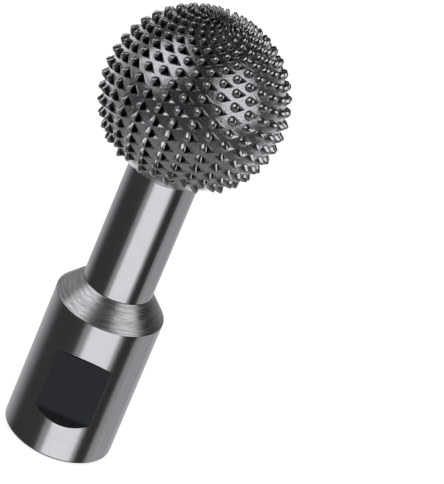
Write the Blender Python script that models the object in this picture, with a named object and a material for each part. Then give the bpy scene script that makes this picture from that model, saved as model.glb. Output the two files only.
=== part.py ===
"""Ball rasp for an angle grinder, in three pieces: toothed head, neck rod and drive collar.

Metres, +Z up. The origin is the centre of the collar's end face, which seats on the grinder's
spindle flange, and +Z is the axis of rotation, towards the head. The wrench flats face -Y and +Y.
The neck rod is a ground bar with a spigot at each end: one is fixed in the head, the other in the
collar. The collar carries the spindle thread, open at its end face.
"""
import bpy
import bmesh
from math import asin, cos, degrees, pi, radians, sin, sqrt
from mathutils import Vector

MM = 0.001
GAP = 0.3 * MM                      # clearance kept between pieces that touch

# Drive collar
COLLAR_R = 10.0 * MM
COLLAR_STRAIGHT = 28.4 * MM         # height of the straight side, up to the cone's edge
CONE_TOP = 32.6 * MM
END_CHAMFER = 0.4 * MM
FLAT_OFFSET = 8.6 * MM              # wrench flats, 17.2 mm across
FLAT_BOTTOM = 8.1 * MM
FLAT_TOP = 20.4 * MM
FLAT_RUNOUT = 1.1 * MM              # how far the cutter's run-out arches past each end

# Spindle thread in the collar
THREAD_MAJOR_R = 7.0 * MM
THREAD_MINOR_R = 5.92 * MM
THREAD_PITCH = 2.0 * MM
THREAD_END = 16.0 * MM
THREAD_FADE = 1.5 * MM              # run-out of the last turn
BORE_END = 18.0 * MM
MOUTH_CHAMFER = 1.4 * MM

# Neck rod
NECK_R = 6.4 * MM
SPIGOT_R = 4.5 * MM
LOWER_SPIGOT = 9.0 * MM
UPPER_SPIGOT = 14.0 * MM
SPIGOT_CHAMFER = 0.5 * MM

# Toothed head
BALL_Z = 71.4 * MM
GROUND_R = 15.6 * MM
TIP_R = 16.75 * MM
COLUMNS = 30                        # columns of teeth, on meridians
COLUMN_STEP = radians(360 / COLUMNS)
ROW_STEP = radians(4.3)             # teeth of neighbouring columns are half a spacing apart
FIRST_COLUMN = radians(-5)
MIDDLE_ROW = radians(33)
LOWEST_ROW = -17                    # rows are counted from MIDDLE_ROW
HIGHEST_ROW = 12
TOOTH_HALF_WIDTH = 1.04 * MM        # along the cutting edge, at the equator and below
BACK_LENGTH = 1.08 * MM             # from the cutting edge to the end of the rounded back
PIT_LENGTH = 1.95 * MM              # from the cutting edge to the far tip of the punched pit
PIT_DEPTH = 0.55 * MM
FACE_FOOT = 0.34 * MM               # how far the cutting face leans out over its height
PIT_SKEW = 0.10                     # the pit's tip lies this share of its length below the row
LEAN = 0.15 * MM                    # how far the tip leans over the pit
EDGE_POWER = 1.35                   # how the cutting edge arches; 1 is a straight slope
SHOULDER = 0.55                     # where the modelled edge bends, as a share of its half width
POLE_SIZE = 0.85                    # length and height of the teeth by the pole, as shares
POLE_WIDTH = 0.5                    # their width
SMOOTH_SEGMENTS = 60

ROUND = 96                          # segments around the collar and the neck
THREAD_ROUND = 48
THREAD_ROWS_PER_TURN = 6


def clear_scene():
    for item in list(bpy.data.objects):
        bpy.data.objects.remove(item)


def steel(name, colour, roughness):
    material = bpy.data.materials.new(name)
    material.use_nodes = True
    shader = material.node_tree.nodes["Principled BSDF"]
    shader.inputs["Base Color"].default_value = (*colour, 1)
    shader.inputs["Metallic"].default_value = 1.0
    shader.inputs["Roughness"].default_value = roughness
    return material


def add_piece(name, bm, material):
    bmesh.ops.remove_doubles(bm, verts=bm.verts, dist=1e-7)
    bmesh.ops.recalc_face_normals(bm, faces=bm.faces)
    mesh = bpy.data.meshes.new(name)
    bm.to_mesh(mesh)
    bm.free()
    mesh.shade_smooth()
    mesh.set_sharp_from_angle(angle=radians(25))
    mesh.materials.append(material)
    piece = bpy.data.objects.new(name, mesh)
    bpy.context.collection.objects.link(piece)
    return piece


def ring(bm, radius, z, count):
    """A ring of vertices; radius may be a number or a function of the angle and the height."""
    verts = []
    for i in range(count):
        turn = 2 * pi * i / count
        r = radius(turn, z) if callable(radius) else radius
        verts.append(bm.verts.new((r * cos(turn), r * sin(turn), z)))
    return verts


def bridge(bm, first, second):
    """Faces between two closed rings. The second ring may have a multiple of the first's count."""
    ratio = len(second) // len(first)
    for i, low in enumerate(first):
        after = first[(i + 1) % len(first)]
        start = i * ratio
        fan = [second[(start + k) % len(second)] for k in range(ratio + 1)]
        if ratio == 1:
            bm.faces.new((low, after, fan[1], fan[0]))
            continue
        half = ratio // 2
        for k in range(ratio):
            bm.faces.new((low if k < half else after, fan[k + 1], fan[k]))
        bm.faces.new((low, after, fan[half]))


def turned_solid(bm, profile, count, closed=True):
    """Turn a profile of (radius, height) points; a radius of 0 is a point on the axis."""
    rings = [ring(bm, r, z, count) for r, z in profile if r > 0]
    for first, second in zip(rings, rings[1:]):
        bridge(bm, first, second)
    if closed:
        bm.faces.new(rings[0])
        bm.faces.new(rings[-1])
    return rings


def thread_radius(turn, z):
    """Radius of the internal thread: a trapezoid wave along the helix, fading out at its end."""
    phase = (z / THREAD_PITCH - turn / (2 * pi)) % 1.0
    wave = min(1.0, max(0.0, 2.0 - abs(phase - 0.5) * 6.0))
    fade = min(1.0, max(0.0, (THREAD_END - z) / THREAD_FADE))
    return THREAD_MINOR_R + (THREAD_MAJOR_R - THREAD_MINOR_R) * wave * fade


def build_collar(material):
    bm = bmesh.new()
    socket_r = SPIGOT_R + GAP
    socket_end = CONE_TOP - LOWER_SPIGOT - GAP
    outside = [
        (COLLAR_R - END_CHAMFER, 0),
        (COLLAR_R, END_CHAMFER),
        (COLLAR_R, COLLAR_STRAIGHT),
        (NECK_R, CONE_TOP),
        (socket_r, CONE_TOP),
        (socket_r, socket_end),
    ]
    rings = turned_solid(bm, outside, ROUND, closed=False)
    bm.faces.new(rings[-1])

    mouth = ring(bm, THREAD_MINOR_R + MOUTH_CHAMFER, 0, ROUND)
    bridge(bm, rings[0], mouth)
    step = THREAD_PITCH / THREAD_ROWS_PER_TURN
    rows = int((THREAD_END - MOUTH_CHAMFER) / step)
    heights = [MOUTH_CHAMFER + step * i for i in range(rows + 1)]
    thread = [ring(bm, thread_radius, z, THREAD_ROUND) for z in heights]
    thread.append(ring(bm, THREAD_MINOR_R, BORE_END, THREAD_ROUND))
    bridge(bm, thread[0], mouth)
    for first, second in zip(thread, thread[1:]):
        bridge(bm, first, second)
    bm.faces.new(thread[-1])
    collar = add_piece("drive_collar", bm, material)
    for side in (-1, 1):
        cut = collar.modifiers.new("wrench_flat", "BOOLEAN")
        cut.operation = "DIFFERENCE"
        cut.object = flat_cutter(side)
    return collar


def flat_cutter(side):
    """A block that cuts one wrench flat, its ends leaning outwards as a disc cutter leaves them."""
    chord = sqrt(COLLAR_R ** 2 - FLAT_OFFSET ** 2)
    depth = COLLAR_R - FLAT_OFFSET
    reach = 1.6 * depth
    lean = FLAT_RUNOUT / depth
    width = 1.3 * chord
    outline = [
        (0, FLAT_BOTTOM),
        (reach, FLAT_BOTTOM - lean * reach),
        (reach, FLAT_TOP + lean * reach),
        (0, FLAT_TOP),
    ]
    bm = bmesh.new()
    ends = []
    for x in (-width, width):
        ends.append([bm.verts.new((x, side * (FLAT_OFFSET + out), z)) for out, z in outline])
    bm.faces.new(ends[0])
    bm.faces.new(ends[1])
    for i in range(4):
        j = (i + 1) % 4
        bm.faces.new((ends[0][i], ends[0][j], ends[1][j], ends[1][i]))
    cutter = add_piece("flat_cutter_back" if side > 0 else "flat_cutter_front", bm, None)
    cutter.hide_render = True
    cutter.display_type = "WIRE"
    return cutter


def build_neck(material):
    """The bar, from the cone's top to the spot face under the ball, with a spigot at each end."""
    bottom = CONE_TOP + GAP
    top = spot_face_z() - GAP
    lower = bottom - LOWER_SPIGOT
    upper = top + UPPER_SPIGOT
    profile = [
        (SPIGOT_R - SPIGOT_CHAMFER, lower),
        (SPIGOT_R, lower + SPIGOT_CHAMFER),
        (SPIGOT_R, bottom),
        (NECK_R, bottom),
        (NECK_R, top),
        (SPIGOT_R, top),
        (SPIGOT_R, upper - SPIGOT_CHAMFER),
        (SPIGOT_R - SPIGOT_CHAMFER, upper),
    ]
    bm = bmesh.new()
    turned_solid(bm, profile, ROUND)
    return add_piece("neck_rod", bm, material)


def spot_face_z():
    """Height of the flat ring under the ball that the neck's shoulder meets."""
    return BALL_Z - sqrt(GROUND_R ** 2 - NECK_R ** 2)


def on_ball(radius, longitude, latitude):
    """A point on a sphere about the ball's centre. Longitude 0 faces -Y and grows towards +X."""
    flat = radius * cos(latitude)
    return Vector((flat * sin(longitude), -flat * cos(longitude), BALL_Z + radius * sin(latitude)))


def row_latitude(row):
    return MIDDLE_ROW + row * ROW_STEP


def row_columns(row):
    """Every other column, starting with the first column on even rows."""
    return range(row % 2, COLUMNS, 2)


def shrunk(latitude, pole_share):
    """Share of a full size: whole up to the equator, pole_share by the pole."""
    share = min(1.0, max(0.0, degrees(latitude) / 80))
    return 1 - share * (1 - pole_share)


def tooth_points(latitude):
    """A punched tooth as named (east, north, height) points about the middle of its cutting edge.

    The punch has raised the metal into a rounded back, to the west, and left a V-shaped pit to the
    east. The cutting face drops from the edge into the pit.
    """
    size = shrunk(latitude, POLE_SIZE)
    half_cell = GROUND_R * COLUMN_STEP * cos(latitude)
    back = min(BACK_LENGTH * size, 0.5 * half_cell)
    pit = min(PIT_LENGTH * size, 0.86 * half_cell)
    foot = min(FACE_FOOT * size, 0.3 * pit)
    half_width = TOOTH_HALF_WIDTH * shrunk(latitude, POLE_WIDTH)
    shoulder = SHOULDER * half_width
    flank = -back * sqrt(1 - SHOULDER ** 2)
    lean = min(LEAN * size, 0.5 * foot)
    height = (TIP_R - GROUND_R) * size
    drop = SHOULDER ** EDGE_POWER
    return {
        "tip": (lean, 0, height),
        "north_shoulder": (lean * (1 - drop), shoulder, height * (1 - drop)),
        "south_shoulder": (lean * (1 - drop), -shoulder, height * (1 - drop)),
        "north": (0, half_width, 0),
        "south": (0, -half_width, 0),
        "back": (-back, 0, 0),
        "north_back": (flank, shoulder, 0),
        "south_back": (flank, -shoulder, 0),
        "foot": (foot, 0, -PIT_DEPTH * size * (1 - foot / pit)),
        "pit_tip": (pit, -pit * PIT_SKEW, 0),
    }


TOOTH_FACES = (
    ("south_back", "back", "tip", "south_shoulder"),
    ("back", "north_back", "north_shoulder", "tip"),
    ("south", "south_back", "south_shoulder"),
    ("north_back", "north", "north_shoulder"),
    ("south", "south_shoulder", "foot"),
    ("south_shoulder", "tip", "foot"),
    ("tip", "north_shoulder", "foot"),
    ("north_shoulder", "north", "foot"),
    ("foot", "north", "pit_tip"),
    ("south", "foot", "pit_tip"),
)
GROUND_FACES = (
    ("west_corner", "back", "north_back"),
    ("west_corner", "north_back", "north_corner"),
    ("north_corner", "north_back", "north"),
    ("north_corner", "north", "pit_tip"),
    ("north_corner", "pit_tip", "east_corner"),
    ("east_corner", "pit_tip", "south_corner"),
    ("south_corner", "pit_tip", "south"),
    ("south_corner", "south", "south_back"),
    ("south_corner", "south_back", "west_corner"),
    ("west_corner", "south_back", "back"),
)


def add_tooth(bm, grid, row, column):
    """One tooth with its pit, and the plain ground around it out to its diamond cell's corners."""
    latitude = row_latitude(row)
    longitude = FIRST_COLUMN + column * COLUMN_STEP
    verts = {
        "west_corner": grid(row, column - 1),
        "south_corner": grid(row - 1, column),
        "east_corner": grid(row, column + 1),
        "north_corner": grid(row + 1, column),
    }
    for name, (east, north, height) in tooth_points(latitude).items():
        turn = longitude + east / (GROUND_R * cos(latitude))
        verts[name] = bm.verts.new(on_ball(GROUND_R + height, turn, latitude + north / GROUND_R))
    for face in TOOTH_FACES + GROUND_FACES:
        bm.faces.new([verts[name] for name in face])


def lattice_points(bm):
    """The corners that neighbouring cells share, made once each."""
    made = {}

    def point(row, column):
        key = (row, column % COLUMNS)
        if key not in made:
            longitude = FIRST_COLUMN + column * COLUMN_STEP
            made[key] = bm.verts.new(on_ball(GROUND_R, longitude, row_latitude(row)))
        return made[key]

    return point


def zigzag(grid, row, outer_row):
    """The border of the cells of one row: its side corners and the corners beyond it, in turn."""
    tooth_columns = set(row_columns(row))
    return [grid(outer_row if c in tooth_columns else row, c) for c in range(COLUMNS)]


def ball_ring(bm, latitude, count):
    start = FIRST_COLUMN
    return [bm.verts.new(on_ball(GROUND_R, start + 2 * pi * i / count, latitude)) for i in range(count)]


def build_head(material):
    bm = bmesh.new()
    grid = lattice_points(bm)
    for row in range(LOWEST_ROW, HIGHEST_ROW + 1):
        for column in row_columns(row):
            add_tooth(bm, grid, row, column)

    pole = bm.verts.new(on_ball(GROUND_R, 0.0, pi / 2))
    crown = zigzag(grid, HIGHEST_ROW, HIGHEST_ROW + 1)
    for first, second in zip(crown, crown[1:] + crown[:1]):
        bm.faces.new((first, second, pole))

    rim = -degrees(asin(sqrt(GROUND_R ** 2 - NECK_R ** 2) / GROUND_R))
    start = degrees(row_latitude(LOWEST_ROW - 1.8))
    steps = 5
    latitudes = [start + (rim - start) * i / steps for i in range(steps + 1)]
    below = [ball_ring(bm, radians(angle), SMOOTH_SEGMENTS) for angle in latitudes]
    bridge(bm, zigzag(grid, LOWEST_ROW, LOWEST_ROW - 1), below[0])
    for first, second in zip(below, below[1:]):
        bridge(bm, first, second)
    add_socket(bm, below[-1])
    return add_piece("rasp_head", bm, material)


def add_socket(bm, rim):
    """The spot face under the ball and the blind socket for the neck's spigot."""
    socket_r = SPIGOT_R + GAP
    floor_z = spot_face_z() + UPPER_SPIGOT + GAP
    mouth = []
    for vert in rim:
        outward = Vector((vert.co.x, vert.co.y, 0)).normalized()
        mouth.append(bm.verts.new(outward * socket_r + Vector((0, 0, vert.co.z))))
    floor = [bm.verts.new((v.co.x, v.co.y, floor_z)) for v in mouth]
    bridge(bm, rim, mouth)
    bridge(bm, mouth, floor)
    bm.faces.new(floor)


clear_scene()
build_collar(steel("collar_steel", (0.19, 0.19, 0.21), 0.22))
build_neck(steel("neck_steel", (0.19, 0.19, 0.21), 0.18))
build_head(steel("head_steel", (0.13, 0.13, 0.145), 0.28))
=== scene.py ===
"""The looks of the ball rasp: a finely cut head, the ground neck and the turned drive collar.

Metres, +Z up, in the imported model's frame: the collar's end face is at z = 0 and the ball is on top.
"""
from math import asin, atan2, cos, degrees, pi, radians, sin, sqrt, tan

import bmesh
import bpy
import numpy as np
from mathutils import Matrix, Vector


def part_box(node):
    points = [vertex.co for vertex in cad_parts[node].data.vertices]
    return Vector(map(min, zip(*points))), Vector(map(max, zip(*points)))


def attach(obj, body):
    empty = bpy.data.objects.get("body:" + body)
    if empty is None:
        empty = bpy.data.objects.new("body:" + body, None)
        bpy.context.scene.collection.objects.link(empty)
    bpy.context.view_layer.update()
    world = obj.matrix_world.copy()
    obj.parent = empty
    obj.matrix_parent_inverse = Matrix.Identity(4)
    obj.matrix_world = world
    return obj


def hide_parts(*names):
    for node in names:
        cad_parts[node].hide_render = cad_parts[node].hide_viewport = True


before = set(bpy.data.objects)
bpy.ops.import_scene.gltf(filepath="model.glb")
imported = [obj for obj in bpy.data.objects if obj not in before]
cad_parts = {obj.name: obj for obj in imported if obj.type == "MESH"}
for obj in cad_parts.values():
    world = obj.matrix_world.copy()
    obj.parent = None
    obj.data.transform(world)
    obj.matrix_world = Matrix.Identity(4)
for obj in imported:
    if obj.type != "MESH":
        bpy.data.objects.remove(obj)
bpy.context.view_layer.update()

MM = 0.001

# The three pieces' sizes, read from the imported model
collar_low, collar_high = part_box("drive_collar")
neck_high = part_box("neck_rod")[1]
head_low, head_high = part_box("rasp_head")
COLLAR_R = collar_high[0]
CONE_TOP = collar_high[2]
NECK_R = neck_high[0]
SPOT_FACE = head_low[2]
TIP_R = (head_high[0] - head_low[0]) / 2

# Shared design sizes, as in the CAD model
CONE_EDGE = 28.4 * MM
END_CHAMFER = 0.4 * MM
FLAT_OFFSET = 8.6 * MM
FLAT_BOTTOM = 8.1 * MM
FLAT_TOP = 20.4 * MM
FLAT_RUNOUT = 1.1 * MM
THREAD_MAJOR_R = 7.0 * MM
THREAD_MINOR_R = 5.92 * MM
THREAD_PITCH = 2.0 * MM
THREAD_END = 16.0 * MM
BORE_END = 18.0 * MM
MOUTH_CHAMFER = 1.4 * MM
SPIGOT_R = 4.5 * MM
LOWER_SPIGOT = 9.0 * MM
UPPER_SPIGOT = 14.0 * MM
BALL_Z = 71.4 * MM
GROUND_R = 15.6 * MM

# Fine detail of the collar and the neck
FIT = 0.02 * MM                     # the visible joints are tight
ROUND = 160                         # segments around
SMOOTH_ANGLE = radians(30)
COLLAR_SMOOTH_ANGLE = radians(24)
THREAD_FADE = 1.5 * MM              # run-out of the last turn
THREAD_ROWS_PER_TURN = 16
FLANK_SLOPE = 5.2                   # how fast the thread's wave falls from its groove to its crest
GROOVE_LEVEL = 2.2                  # the wave's height before it is cut off flat at 1
RIPPLE_RINGS = 36
COARSE_RIPPLE = (0.010 * MM, 13)    # depth of the cutter's ripples on the cone, and how many
FINE_RIPPLE = (0.004 * MM, 31)

# Tooth lattice
COLUMNS = 30
COLUMN_STEP = radians(360 / COLUMNS)
ROW_STEP = radians(4.3)
FIRST_COLUMN = radians(-5)
MIDDLE_ROW = radians(33)
LOWEST_ROW = -17
HIGHEST_ROW = 12
TOOTH_HALF_WIDTH = 1.04 * MM        # along the cutting edge, at the equator and below
BACK_LENGTH = 1.08 * MM             # from the cutting edge to the end of the rounded back
PIT_LENGTH = 1.95 * MM              # from the cutting edge to the far tip of the punched pit
PIT_DEPTH = 0.55 * MM
FACE_FOOT = 0.34 * MM               # how far the foot of the cutting face lies towards the pit
FOOT_SHARE = 0.3                    # the most of the pit's length that the foot may take
PIT_SKEW = 0.10                     # the pit's tip lies this share of its length below the row
LIP = 0.02 * MM                     # metal raised along the pit's edges
LEAN = 0.15 * MM                    # how far the tip is set towards the pit
LEAN_SHARE = 0.5                    # the most of the foot's distance that the tip may take
POLE_SIZE = 0.85                    # length and height of the teeth by the pole, as shares
POLE_WIDTH = 0.6                    # their width
POLE_LATITUDE = 80                  # degrees; the teeth shrink from the equator up to here
BACK_SHARE = 0.5                    # the most of a half cell that a back may take
PIT_SHARE = 0.82                    # the most that a pit may take, so its tip stays in the cell
CROWN_LATITUDE = radians(89.3)      # where the crown's last ring lies
CREASE_ANGLE = radians(75)

# Tooth mesh
SIDE_STEPS = 6                      # edges along each side of a tooth's cell
BACK_STEPS = (1.0, 0.93, 0.8, 0.62, 0.42, 0.24, 0.1)
FACE_STEPS = (0.1, 0.35, 0.65, 1.0)
GROUND_RINGS = (0.08, 0.4, 0.7)
BACK_POWER = 2.2                    # how the back bulges, below the equator; 1 is a straight slope
UPPER_BACK_POWER = 2.8              # the same from UPPER_LATITUDE to the pole
EDGE_POWER = 1.35                   # how the cutting edge arches from end to end, below the equator
UPPER_EDGE_POWER = 2.8              # the same from UPPER_LATITUDE to the pole
UPPER_LATITUDE = 35                 # degrees; the teeth grow rounder from the equator up to here
CAP_SPACING = 1.3                   # rings of plain ground lie closer together by the teeth


def linked(name, mesh, materials):
    for material in materials:
        mesh.materials.append(material)
    piece = bpy.data.objects.new(name, mesh)
    bpy.context.collection.objects.link(piece)
    return piece


def object_from(name, bm, materials):
    mesh = bpy.data.meshes.new(name)
    bm.to_mesh(mesh)
    bm.free()
    mesh.shade_smooth()
    mesh.set_sharp_from_angle(angle=SMOOTH_ANGLE)
    return linked(name, mesh, materials)


def ring(bm, radius, z):
    """A ring of vertices; radius may be a number or a function of the angle and the height."""
    verts = []
    for i in range(ROUND):
        turn = 2 * pi * i / ROUND
        r = radius(turn, z) if callable(radius) else radius
        verts.append(bm.verts.new((r * cos(turn), r * sin(turn), z)))
    return verts


def bridge(bm, first, second):
    count = len(first)
    return [
        bm.faces.new((first[i], first[(i + 1) % count], second[(i + 1) % count], second[i]))
        for i in range(count)
    ]


# ---------------------------------------------------------------- materials


def new_material(name):
    material = bpy.data.materials.new(name)
    material.use_nodes = True
    tree = material.node_tree
    return material, tree, tree.nodes["Principled BSDF"]


def node(tree, kind, **values):
    made = tree.nodes.new(kind)
    for key, value in values.items():
        if key in made.inputs:
            made.inputs[key].default_value = value
        else:
            setattr(made, key, value)
    return made


def math_node(tree, operation, first, second=None):
    made = tree.nodes.new("ShaderNodeMath")
    made.operation = operation
    for socket, value in zip(made.inputs, (first, second)):
        if value is None:
            continue
        if isinstance(value, (int, float)):
            socket.default_value = value
        else:
            tree.links.new(value, socket)
    return made.outputs[0]


def ramp(tree, value, low, high):
    """A value from 0 to 1 turned into a value from low to high."""
    made = node(tree, "ShaderNodeMapRange", **{"To Min": low, "To Max": high})
    tree.links.new(value, made.inputs["Value"])
    return made.outputs["Result"]


def contrast(tree, value, low=0.32, high=0.68):
    """A noise value stretched so that low becomes 0 and high becomes 1."""
    made = node(tree, "ShaderNodeMapRange", **{"From Min": low, "From Max": high})
    tree.links.new(value, made.inputs["Value"])
    return made.outputs["Result"]


def noise(tree, vector, scale, detail=4.0, roughness=0.55):
    made = node(tree, "ShaderNodeTexNoise", Scale=scale, Detail=detail, Roughness=roughness)
    tree.links.new(vector, made.inputs["Vector"])
    return made.outputs["Fac"]


def bump(tree, height, depth, normal=None):
    made = node(tree, "ShaderNodeBump", Strength=1.0, Distance=depth)
    tree.links.new(height, made.inputs["Height"])
    if normal is not None:
        tree.links.new(normal, made.inputs["Normal"])
    return made.outputs["Normal"]


def tinted(tree, shader, value, dark, light):
    """Base colour between two steels, by a value from 0 to 1."""
    mix = node(tree, "ShaderNodeMix", data_type="RGBA")
    mix.inputs["A"].default_value = (*dark, 1)
    mix.inputs["B"].default_value = (*light, 1)
    tree.links.new(value, mix.inputs["Factor"])
    tree.links.new(mix.outputs["Result"], shader.inputs["Base Color"])


def turned_coordinates(tree, along, around):
    """Object coordinates unrolled about the axis: fine across the tool marks, long around them."""
    position = node(tree, "ShaderNodeTexCoord").outputs["Object"]
    split = node(tree, "ShaderNodeSeparateXYZ")
    tree.links.new(position, split.inputs[0])
    x, y, z = split.outputs
    angle = math_node(tree, "ARCTAN2", x, y)
    joined = node(tree, "ShaderNodeCombineXYZ")
    tree.links.new(math_node(tree, "MULTIPLY", z, along), joined.inputs["X"])
    for operation, socket in (("SINE", "Y"), ("COSINE", "Z")):
        share = math_node(tree, operation, angle)
        tree.links.new(math_node(tree, "MULTIPLY", share, around), joined.inputs[socket])
    return joined.outputs[0]


def polished_steel():
    """Ground and polished bar: faint marks around it and slow changes of shine."""
    material, tree, shader = new_material("polished_gunmetal")
    shader.inputs["Metallic"].default_value = 1.0
    marks = noise(tree, turned_coordinates(tree, 9000, 6), 1.0, 3.0)
    clouds = noise(tree, node(tree, "ShaderNodeTexCoord").outputs["Object"], 180, 3.0)
    tinted(tree, shader, clouds, (0.40, 0.40, 0.425), (0.48, 0.48, 0.495))
    tree.links.new(ramp(tree, marks, 0.15, 0.21), shader.inputs["Roughness"])
    tree.links.new(bump(tree, marks, 0.4e-6), shader.inputs["Normal"])
    return material


def turned_steel():
    """The cone: coarse marks of the turning tool, broken into short streaks."""
    material, tree, shader = new_material("turned_gunmetal")
    shader.inputs["Metallic"].default_value = 1.0
    coarse = contrast(tree, noise(tree, turned_coordinates(tree, 3500, 2.5), 1.0, 2.0))
    fine = contrast(tree, noise(tree, turned_coordinates(tree, 8000, 3), 1.0, 2.0, 0.6))
    tinted(tree, shader, fine, (0.16, 0.16, 0.17), (0.36, 0.36, 0.37))
    tree.links.new(ramp(tree, coarse, 0.24, 0.38), shader.inputs["Roughness"])
    first = bump(tree, coarse, 8e-6)
    tree.links.new(bump(tree, fine, 5e-6, normal=first), shader.inputs["Normal"])
    return material


def milled_painted_shade():
    """The wrench flats' floors and the thread: a near-black base colour that paints in shade, with the
    cutter's fine marks.
    """
    material, tree, shader = new_material("milled_painted_shade")
    shader.inputs["Metallic"].default_value = 1.0
    marks = noise(tree, turned_coordinates(tree, 5000, 10), 1.0, 3.0)
    # Near-black tones: painted shade on the flats and inside the bore
    tinted(tree, shader, marks, (0.02, 0.021, 0.024), (0.03, 0.031, 0.035))
    tree.links.new(ramp(tree, marks, 0.38, 0.5), shader.inputs["Roughness"])
    tree.links.new(bump(tree, marks, 2e-6), shader.inputs["Normal"])
    return material


def ground_steel():
    """The ball's surface between the teeth: satin, with a fine sandy grain."""
    material, tree, shader = new_material("head_ground")
    shader.inputs["Metallic"].default_value = 0.8
    place = node(tree, "ShaderNodeTexCoord").outputs["Object"]
    grain = noise(tree, place, 5200, 3.0, 0.6)
    pits = noise(tree, place, 2300, 2.0, 0.6)
    clouds = noise(tree, place, 420, 4.0, 0.6)
    tinted(tree, shader, contrast(tree, grain), (0.22, 0.22, 0.235), (0.39, 0.39, 0.405))
    tree.links.new(ramp(tree, clouds, 0.16, 0.30), shader.inputs["Roughness"])
    tree.links.new(bump(tree, grain, 12e-6, normal=bump(tree, pits, 28e-6)), shader.inputs["Normal"])
    return material


def cut_steel():
    """The teeth's backs and tips and the pits' far ends: smooth, so they mirror light and dark."""
    material, tree, shader = new_material("head_teeth")
    shader.inputs["Metallic"].default_value = 0.8
    place = node(tree, "ShaderNodeTexCoord").outputs["Object"]
    patches = noise(tree, place, 1500, 3.0, 0.5)
    tinted(tree, shader, patches, (0.28, 0.28, 0.295), (0.42, 0.42, 0.435))
    tree.links.new(ramp(tree, patches, 0.12, 0.2), shader.inputs["Roughness"])
    tree.links.new(bump(tree, patches, 6e-6), shader.inputs["Normal"])
    return material


def pit_painted_shadow():
    """The cutting faces below their edge and the near half of the pits: darkened as painted shadow at the
    teeth's feet.
    """
    material, tree, shader = new_material("head_pits_painted_shadow")
    shader.inputs["Metallic"].default_value = 1.0
    place = node(tree, "ShaderNodeTexCoord").outputs["Object"]
    patches = noise(tree, place, 1500, 3.0, 0.5)
    # Dark tones: painted shadow in the pits and on the cutting faces
    tinted(tree, shader, contrast(tree, patches), (0.05, 0.05, 0.055), (0.11, 0.11, 0.115))
    tree.links.new(ramp(tree, patches, 0.2, 0.3), shader.inputs["Roughness"])
    tree.links.new(bump(tree, patches, 8e-6), shader.inputs["Normal"])
    return material


# ---------------------------------------------------------------- drive collar


def arc(centre, radius, start, end, steps):
    """Points of a profile's rounded edge, angles in degrees in the radius-height plane."""
    return [
        (
            centre[0] + radius * cos(radians(start + (end - start) * i / steps)),
            centre[1] + radius * sin(radians(start + (end - start) * i / steps)),
        )
        for i in range(steps + 1)
    ]


def thread_radius(turn, z):
    """Internal thread: a trapezoid wave along the helix, cut by the mouth's cone, fading at its end."""
    phase = (z / THREAD_PITCH - turn / (2 * pi)) % 1.0
    wave = min(1.0, max(0.0, GROOVE_LEVEL - abs(phase - 0.5) * FLANK_SLOPE))
    fade = min(1.0, max(0.0, (THREAD_END - z) / THREAD_FADE))
    thread = THREAD_MINOR_R + (THREAD_MAJOR_R - THREAD_MINOR_R) * wave * fade
    return max(thread, THREAD_MINOR_R + MOUTH_CHAMFER - z)


def collar_outline():
    """The outside, from the end face up to the socket's floor. The last straight is the socket."""
    edge = 0.12 * MM
    slope = atan2(COLLAR_R - NECK_R, CONE_TOP - CONE_EDGE)
    outline = [(COLLAR_R - END_CHAMFER, 0), (COLLAR_R - 0.1 * MM, END_CHAMFER * 0.62)]
    outline += [(COLLAR_R, END_CHAMFER * 1.15)]
    levels = 24
    first, last = outline[-1][1], CONE_EDGE - edge
    outline += [(COLLAR_R, first + (last - first) * i / levels) for i in range(1, levels + 1)]
    outline += arc((COLLAR_R - edge * 2, CONE_EDGE - edge), edge * 2, 0, degrees(slope), 4)[1:]
    start = outline[-1]
    for i in range(1, RIPPLE_RINGS):
        share = i / RIPPLE_RINGS
        ripple = sum(deep * sin(share * 2 * pi * waves) for deep, waves in (COARSE_RIPPLE, FINE_RIPPLE))
        r = start[0] + (NECK_R - start[0]) * share + ripple * cos(slope)
        z = start[1] + (CONE_TOP - start[1]) * share + ripple * sin(slope)
        outline.append((r, z))
    outline.append((NECK_R + 0.02 * MM, CONE_TOP))
    outline.append((SPIGOT_R + FIT, CONE_TOP))
    outline.append((SPIGOT_R + FIT, CONE_TOP - LOWER_SPIGOT - FIT))
    return outline


def flat_cutter(side):
    """A block that cuts one wrench flat, its ends leaning outwards as a disc cutter leaves them."""
    chord = sqrt(COLLAR_R ** 2 - FLAT_OFFSET ** 2)
    depth = COLLAR_R - FLAT_OFFSET
    reach = 1.6 * depth
    lean = FLAT_RUNOUT / depth
    width = 1.3 * chord
    soft = 1.0 * MM                     # the cutter's worn corner
    flattened = 0.35 * soft
    corners = []
    for turn in (0, pi / 8, pi / 4):
        corners.append((flattened * (1 - cos(turn)), FLAT_BOTTOM + soft * (1 - sin(turn))))
    outline = [
        *corners,
        (reach, FLAT_BOTTOM - lean * reach),
        (reach, FLAT_TOP + lean * reach),
        (0, FLAT_TOP),
    ]
    bm = bmesh.new()
    ends = []
    for x in (-width, width):
        ends.append([bm.verts.new((x, side * (FLAT_OFFSET + out), z)) for out, z in outline])
    bm.faces.new(ends[0])
    bm.faces.new(ends[1])
    for i in range(len(outline)):
        j = (i + 1) % len(outline)
        bm.faces.new((ends[0][i], ends[0][j], ends[1][j], ends[1][i]))
    bmesh.ops.recalc_face_normals(bm, faces=bm.faces)
    return object_from("flat_cutter", bm, [])


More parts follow.
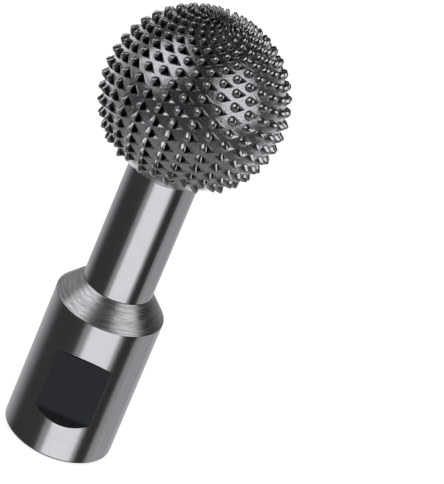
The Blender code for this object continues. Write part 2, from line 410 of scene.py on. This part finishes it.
def build_collar(polished, turned, dark):
    bm = bmesh.new()
    outline = collar_outline()
    rings = [ring(bm, r, z) for r, z in outline]
    cone_start = next(i for i, (r, z) in enumerate(outline) if z > CONE_EDGE)
    for i, (first, second) in enumerate(zip(rings, rings[1:])):
        for face in bridge(bm, first, second):
            face.material_index = 1 if i >= cone_start - 1 else 0
    bm.faces.new(rings[-1])
    step = THREAD_PITCH / THREAD_ROWS_PER_TURN
    rows = round(THREAD_END / step)
    bore = [ring(bm, thread_radius, step * i) for i in range(rows + 1)]
    bore.append(ring(bm, THREAD_MINOR_R, BORE_END))
    bridge(bm, rings[0], bore[0])
    for first, second in zip(bore, bore[1:]):
        # The bore and its thread take the near-black milled material: painted shade inside the hole
        for face in bridge(bm, first, second):
            face.material_index = 2
    bm.faces.new(bore[-1]).material_index = 2
    bmesh.ops.recalc_face_normals(bm, faces=bm.faces)
    collar = object_from("collar_body", bm, [polished, turned, dark])
    cutters = [flat_cutter(side) for side in (-1, 1)]
    # The cut flats take the same near-black material: painted shade on their floors
    for cutter in cutters:
        cutter.data.materials.append(dark)
        cut = collar.modifiers.new("wrench_flat", "BOOLEAN")
        cut.operation = "DIFFERENCE"
        cut.object = cutter
        cut.material_mode = "TRANSFER"
    apply_modifiers(collar)
    for cutter in cutters:
        bpy.data.objects.remove(cutter)
    collar.data.shade_smooth()
    collar.data.set_sharp_from_angle(angle=COLLAR_SMOOTH_ANGLE)
    return collar


def apply_modifiers(piece):
    shown = piece.evaluated_get(bpy.context.evaluated_depsgraph_get())
    mesh = bpy.data.meshes.new_from_object(shown)
    piece.modifiers.clear()
    piece.data = mesh


# ---------------------------------------------------------------- neck rod


def build_neck(polished):
    edge = 0.1 * MM
    bottom = CONE_TOP + FIT
    top = SPOT_FACE - FIT
    lower = bottom - LOWER_SPIGOT
    upper = top + UPPER_SPIGOT
    tip = 0.5 * MM
    outline = [(SPIGOT_R - tip, lower), (SPIGOT_R, lower + tip), (SPIGOT_R, bottom)]
    outline += [(NECK_R - edge, bottom), (NECK_R, bottom + edge)]
    levels = 12
    rise = top - bottom - 2 * edge
    outline += [(NECK_R, bottom + edge + rise * i / levels) for i in range(1, levels + 1)]
    outline += [(NECK_R - edge, top), (SPIGOT_R, top), (SPIGOT_R, upper - tip), (SPIGOT_R - tip, upper)]
    bm = bmesh.new()
    rings = [ring(bm, r, z) for r, z in outline]
    for first, second in zip(rings, rings[1:]):
        bridge(bm, first, second)
    bm.faces.new(rings[0])
    bm.faces.new(rings[-1])
    bmesh.ops.recalc_face_normals(bm, faces=bm.faces)
    return object_from("neck_bar", bm, [polished])


# ---------------------------------------------------------------- toothed head


def on_ball(radius, longitude, latitude):
    """Points on spheres about the ball's centre. Longitude 0 faces -Y and grows towards +X."""
    flat = radius * np.cos(latitude)
    return np.stack(
        [flat * np.sin(longitude), -flat * np.cos(longitude), BALL_Z + radius * np.sin(latitude)], -1
    )


def row_latitude(row):
    return MIDDLE_ROW + row * ROW_STEP


def shrunk(latitude, pole_share):
    """Share of a full size: whole up to the equator, pole_share by the pole."""
    share = min(1.0, max(0.0, degrees(latitude) / POLE_LATITUDE))
    return 1 - share * (1 - pole_share)


def rounder(latitude, lower, upper):
    """A power that grows from the equator to UPPER_LATITUDE: the upper teeth are rounder."""
    return lower + (upper - lower) * min(1.0, max(0.0, degrees(latitude) / UPPER_LATITUDE))


def side_points(first, second, steps):
    return [first + (second - first) * i / steps for i in range(steps)]


def cell_outline():
    """The diamond cell around a tip, as (longitude, latitude) offsets, from its left corner round."""
    corners = [
        np.array((-COLUMN_STEP, 0.0)),
        np.array((0.0, ROW_STEP)),
        np.array((COLUMN_STEP, 0.0)),
        np.array((0.0, -ROW_STEP)),
    ]
    points = []
    for i, corner in enumerate(corners):
        points += side_points(corner, corners[(i + 1) % 4], SIDE_STEPS)
    return np.array(points)


def tooth_section(share, latitude):
    """One cut across a tooth, share -1 to 1 along its cutting edge: (east, north, height) points.

    It runs from the foot of the rounded back over the edge, down the cutting face and up the pit.
    """
    size = shrunk(latitude, POLE_SIZE)
    half_cell = GROUND_R * COLUMN_STEP * cos(latitude)
    back = min(BACK_LENGTH * size, BACK_SHARE * half_cell) * sqrt(1 - share ** 2)
    pit = min(PIT_LENGTH * size, PIT_SHARE * half_cell)
    north = TOOTH_HALF_WIDTH * shrunk(latitude, POLE_WIDTH) * share
    arch = 1 - abs(share) ** rounder(latitude, EDGE_POWER, UPPER_EDGE_POWER)
    edge = (TIP_R - GROUND_R) * size * arch
    foot = min(FACE_FOOT * size, FOOT_SHARE * pit) * (1 - share ** 2)
    lean = min(LEAN, LEAN_SHARE * foot) * arch
    deep = -PIT_DEPTH * size * (1 - foot / pit - abs(share))
    end = pit * (1 - abs(share))
    bulge = rounder(latitude, BACK_POWER, UPPER_BACK_POWER)
    points = []
    for step in BACK_STEPS:
        points.append((lean - (back + lean) * step, north, edge * (1 - step ** bulge)))
    for step in FACE_STEPS:
        points.append((lean + (foot - lean) * step, north, edge + (deep - edge) * step))
    points.append(((foot + end) / 2, north, deep / 2))
    points.append((end, north, LIP))
    return [(east, n - max(0.0, east) * PIT_SKEW, height) for east, n, height in points]


def tooth_point(row, column, east, north, height):
    latitude = row_latitude(row)
    longitude = FIRST_COLUMN + column * COLUMN_STEP + east / (GROUND_R * cos(latitude))
    return on_ball(GROUND_R + height, longitude, latitude + north / GROUND_R)


def add_tooth(bm, row, column):
    """A raised tooth with its pit, then plain ground out to the cell's border. Returns the creases."""
    latitude = row_latitude(row)
    half_width = TOOTH_HALF_WIDTH * shrunk(latitude, POLE_WIDTH)
    south, north = [bm.verts.new(tooth_point(row, column, 0, side * half_width, 0)) for side in (-1, 1)]
    sections = []
    count = 2 * SIDE_STEPS
    for i in range(1, count):
        section = tooth_section(-cos(pi * i / count), latitude)
        sections.append([bm.verts.new(tooth_point(row, column, *point)) for point in section])
    strips = []
    for first, second in zip(sections, sections[1:]):
        corners = zip(first, first[1:], second[1:], second)
        strips.append([bm.faces.new(quad) for quad in corners])
    for pole, section in ((south, sections[0]), (north, sections[-1])):
        strips.append([bm.faces.new((pole, low, high)) for low, high in zip(section, section[1:])])
    face_start = len(BACK_STEPS) + 1
    # Index 2, the dark pit material, paints shadow on the cutting face and the pit's near half
    for strip in strips:
        for i, face in enumerate(strip):
            face.material_index = 2 if face_start <= i < face_start + len(FACE_STEPS) - 1 else 1
    loop = [s[0] for s in sections[SIDE_STEPS - 1:]] + [north]
    loop += [s[-1] for s in reversed(sections)] + [south]
    loop += [s[0] for s in sections[:SIDE_STEPS - 1]]
    add_ground(bm, row, column, loop)
    foot = len(BACK_STEPS) + len(FACE_STEPS) - 1
    valley = [south] + [s[foot] for s in sections] + [north]
    keel = sections[SIDE_STEPS - 1][foot:]
    return [list(zip(line, line[1:])) for line in (loop + loop[:1], valley, keel)]


def add_ground(bm, row, column, loop):
    """Rings of ground from a tooth's own outline, which starts at its back, to its diamond cell."""
    centre = np.array((FIRST_COLUMN + column * COLUMN_STEP, row_latitude(row)))
    places = np.array([vert.co for vert in loop]) - (0, 0, BALL_Z)
    longitude = np.arctan2(places[:, 0], -places[:, 1])
    longitude = centre[0] + np.remainder(longitude - centre[0] + pi, 2 * pi) - pi
    latitude = np.arcsin(places[:, 2] / np.linalg.norm(places, axis=1))
    outline = np.stack([longitude, latitude], -1)
    border = centre + cell_outline()
    rings = [loop]
    for share in (*GROUND_RINGS, 1.0):
        ground = outline + (border - outline) * share
        rings.append([bm.verts.new(p) for p in on_ball(GROUND_R, ground[:, 0], ground[:, 1])])
    for first, second in zip(rings, rings[1:]):
        bridge(bm, first, second)


def border(row, outer_row):
    """The zigzag border of a row's cells: (longitude, latitude) points, evenly spaced along it."""
    points = []
    for column in range(COLUMNS):
        here = outer_row if column % 2 == row % 2 else row
        after = row if here == outer_row else outer_row
        start = np.array((FIRST_COLUMN + column * COLUMN_STEP, row_latitude(here)))
        end = np.array((FIRST_COLUMN + (column + 1) * COLUMN_STEP, row_latitude(after)))
        points += side_points(start, end, SIDE_STEPS)
    return np.array(points)


def smooth_cap(bm, edge, end_latitude, steps):
    """The plain ground from a zigzag border to a ring of latitude."""
    rings = []
    for i in range(steps + 1):
        share = (i / steps) ** CAP_SPACING
        latitude = edge[:, 1] + (end_latitude - edge[:, 1]) * share
        places = on_ball(GROUND_R, edge[:, 0], latitude)
        rings.append([bm.verts.new(p) for p in places])
    for first, second in zip(rings, rings[1:]):
        bridge(bm, first, second)
    return rings[-1]


def build_head(materials):
    bm = bmesh.new()
    creases = []
    for row in range(LOWEST_ROW, HIGHEST_ROW + 1):
        for column in range(row % 2, COLUMNS, 2):
            for crease in add_tooth(bm, row, column):
                creases += crease
    for pair in creases:
        bm.edges.get(pair).smooth = False

    crown = smooth_cap(bm, border(HIGHEST_ROW, HIGHEST_ROW + 1), CROWN_LATITUDE, 3)
    top = bm.verts.new(on_ball(GROUND_R, 0.0, pi / 2))
    for i, vert in enumerate(crown):
        bm.faces.new((vert, crown[(i + 1) % len(crown)], top))

    rim_latitude = -asin((BALL_Z - SPOT_FACE) / GROUND_R)
    rim = smooth_cap(bm, border(LOWEST_ROW, LOWEST_ROW - 1), rim_latitude, 14)
    socket = SPIGOT_R + FIT
    mouth = []
    for vert in rim:
        outward = Vector((vert.co.x, vert.co.y, 0)).normalized() * socket
        mouth.append(bm.verts.new((outward.x, outward.y, vert.co.z)))
    floor = [bm.verts.new((v.co.x, v.co.y, SPOT_FACE + UPPER_SPIGOT + FIT)) for v in mouth]
    bridge(bm, rim, mouth)
    bridge(bm, mouth, floor)
    bm.faces.new(floor)
    bmesh.ops.remove_doubles(bm, verts=bm.verts, dist=1e-6)
    bmesh.ops.recalc_face_normals(bm, faces=bm.faces)
    return head_object(bm, materials)


def head_object(bm, materials):
    """Smooth shading, but for the creases marked so far and the edges past CREASE_ANGLE."""
    mesh = bpy.data.meshes.new("toothed_ball")
    for edge in bm.edges:
        if len(edge.link_faces) == 2 and edge.calc_face_angle() > CREASE_ANGLE:
            edge.smooth = False
    for face in bm.faces:
        face.smooth = True
    bm.to_mesh(mesh)
    bm.free()
    return linked("toothed_ball", mesh, materials)


# ---------------------------------------------------------------- stage

CAMERA_TILT = radians(28.08)
CAMERA_ROLL = radians(23.2)
CAMERA_DISTANCE = 0.6884
CAMERA_AIM = Vector((13.82, 20.04, 37.56)) * MM
LENS = 285.7
LIGHT_CENTRE = Vector((0, 0, 45)) * MM
LIGHT_DISTANCE = 1.0
FLOOR_HALF = 4.0
FLOOR_DROP = 0.05 * MM              # keeps the floor clear of the collar's end face


def add_camera():
    data = bpy.data.cameras.new("camera")
    data.sensor_width = 36
    data.lens = LENS
    data.clip_start = 0.01
    camera = bpy.data.objects.new("camera", data)
    back = Vector((0, -cos(CAMERA_TILT), sin(CAMERA_TILT)))
    level_right = Vector((1, 0, 0))
    level_up = Vector((0, sin(CAMERA_TILT), cos(CAMERA_TILT)))
    right = cos(CAMERA_ROLL) * level_right + sin(CAMERA_ROLL) * level_up
    up = cos(CAMERA_ROLL) * level_up - sin(CAMERA_ROLL) * level_right
    turn = Matrix((right, up, back)).transposed()
    camera.matrix_world = Matrix.Translation(CAMERA_AIM + back * CAMERA_DISTANCE) @ turn.to_4x4()
    bpy.context.collection.objects.link(camera)
    bpy.context.scene.camera = camera


def direction(azimuth, elevation):
    """Azimuth 0 is towards -Y and grows towards +X, in degrees."""
    a, e = radians(azimuth), radians(elevation)
    return Vector((cos(e) * sin(a), -cos(e) * cos(a), sin(e)))


def softbox(name, azimuth, elevation, wide, tall, glow, receivers):
    """A soft panel that covers wide x tall degrees as seen from the object, for some pieces only."""
    data = bpy.data.lights.new(name, "AREA")
    data.shape = "RECTANGLE"
    data.size = 2 * LIGHT_DISTANCE * tan(radians(wide / 2))
    data.size_y = 2 * LIGHT_DISTANCE * tan(radians(tall / 2))
    data.energy = glow * pi * data.size * data.size_y
    lamp = bpy.data.objects.new(name, data)
    away = direction(azimuth, elevation)
    lamp.location = LIGHT_CENTRE + away * LIGHT_DISTANCE
    lamp.rotation_euler = away.to_track_quat("Z", "Y").to_euler()
    lamp.visible_camera = False
    bpy.context.collection.objects.link(lamp)
    lamp.light_linking.receiver_collection = receivers
    return lamp


def group(name, members):
    made = bpy.data.collections.new(name)
    for member in members:
        made.objects.link(member)
    return made


def add_world():
    """Pale to the camera. As a reflection it is dark in front and above, and paler low behind."""
    world = bpy.data.worlds.new("studio")
    bpy.context.scene.world = world
    world.use_nodes = True
    tree = world.node_tree
    back = tree.nodes["Background"]
    back.inputs["Color"].default_value = (0.98, 0.97, 1, 1)
    seen = node(tree, "ShaderNodeLightPath").outputs["Is Camera Ray"]
    place = node(tree, "ShaderNodeTexCoord").outputs["Generated"]
    split = node(tree, "ShaderNodeSeparateXYZ")
    tree.links.new(place, split.inputs[0])
    front_to_back = {"From Min": 0.0, "From Max": 0.8, "To Min": 0.04, "To Max": 0.6}
    behind = node(tree, "ShaderNodeMapRange", interpolation_type="SMOOTHSTEP", **front_to_back)
    tree.links.new(split.outputs["Y"], behind.inputs["Value"])
    low_to_high = {"From Min": -0.3, "From Max": 0.4, "To Min": 1.0, "To Max": 0.15}
    height = node(tree, "ShaderNodeMapRange", **low_to_high)
    tree.links.new(split.outputs["Z"], height.inputs["Value"])
    dimmed = math_node(tree, "MULTIPLY", behind.outputs["Result"], height.outputs["Result"])
    mix = node(tree, "ShaderNodeMix", data_type="FLOAT")
    tree.links.new(seen, mix.inputs["Factor"])
    tree.links.new(dimmed, mix.inputs["A"])
    mix.inputs["B"].default_value = 1.0
    tree.links.new(mix.outputs["Result"], back.inputs["Strength"])


def add_floor():
    bm = bmesh.new()
    bmesh.ops.create_grid(bm, x_segments=1, y_segments=1, size=FLOOR_HALF)
    floor = object_from("floor", bm, [])
    floor.location.z = collar_low[2] - FLOOR_DROP
    material, _, shader = new_material("pale_floor")
    shader.inputs["Base Color"].default_value = (0.9, 0.9, 0.9, 1)
    shader.inputs["Roughness"].default_value = 0.9
    shader.inputs["Specular IOR Level"].default_value = 0.0
    shader.inputs["Emission Color"].default_value = (1, 1, 1, 1)
    shader.inputs["Emission Strength"].default_value = 0.75
    floor.data.materials.append(material)
    floor.visible_glossy = False
    floor.visible_shadow = False
    return floor


def light_scene(head, neck, collar, floor):
    """Soft panels, each piece with its own set. Angles are in degrees: azimuth, elevation, width, height."""
    shaft = group("shaft_lights", [neck, collar])
    cone = group("cone_lights", [collar])
    ball = group("ball_lights", [head])
    ground = group("floor_lights", [floor])
    mirrored = [
        softbox("left_softbox", -75, 38, 52, 52, 2.15, ball),
        softbox("right_softbox", 68, 34, 52, 58, 2.15, ball),
        softbox("low_left", -120, -18, 60, 56, 0.5, ball),
        softbox("rear", 180, -30, 115, 60, 0.5, ball),
        softbox("below", 0, -84, 110, 110, 0.3, ball),
    ]
    for lamp in mirrored:
        lamp.visible_diffuse = False
    fill = softbox("fill", 0, -75, 60, 60, 2.4, ball)
    fill.visible_glossy = False
    softbox("cone_left", -70, 36, 44, 50, 2.3, cone)
    softbox("cone_right", 61, 36, 45, 50, 2.0, cone)
    softbox("cone_front", 0, 53, 70, 50, 0.12, cone)
    softbox("cone_back", -122, 18, 44, 40, 0.5, cone)
    softbox("shaft_fill", -20, -28, 150, 80, 0.028, shaft)
    softbox("strip", 17, -28, 52, 60, 1.0, shaft)
    softbox("strip_edges", 14, -28, 70, 60, 0.4, shaft)
    softbox("side_panel", 97, -28, 22, 60, 0.22, shaft)
    softbox("side_panel_edge", 104, -28, 36, 60, 0.24, shaft)
    softbox("top", 0, 85, 60, 60, 1.2, ground)


# ---------------------------------------------------------------- assembly

polished = polished_steel()
turned = turned_steel()
dark = milled_painted_shade()

collar = build_collar(polished, turned, dark)
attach(collar, "root")
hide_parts("drive_collar")

neck = build_neck(polished)
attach(neck, "root")
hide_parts("neck_rod")

head = build_head([ground_steel(), cut_steel(), pit_painted_shadow()])
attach(head, "root")
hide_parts("rasp_head")

add_camera()
add_world()
floor = add_floor()
light_scene(head, neck, collar, floor)
bpy.context.scene.view_settings.view_transform = "Standard"
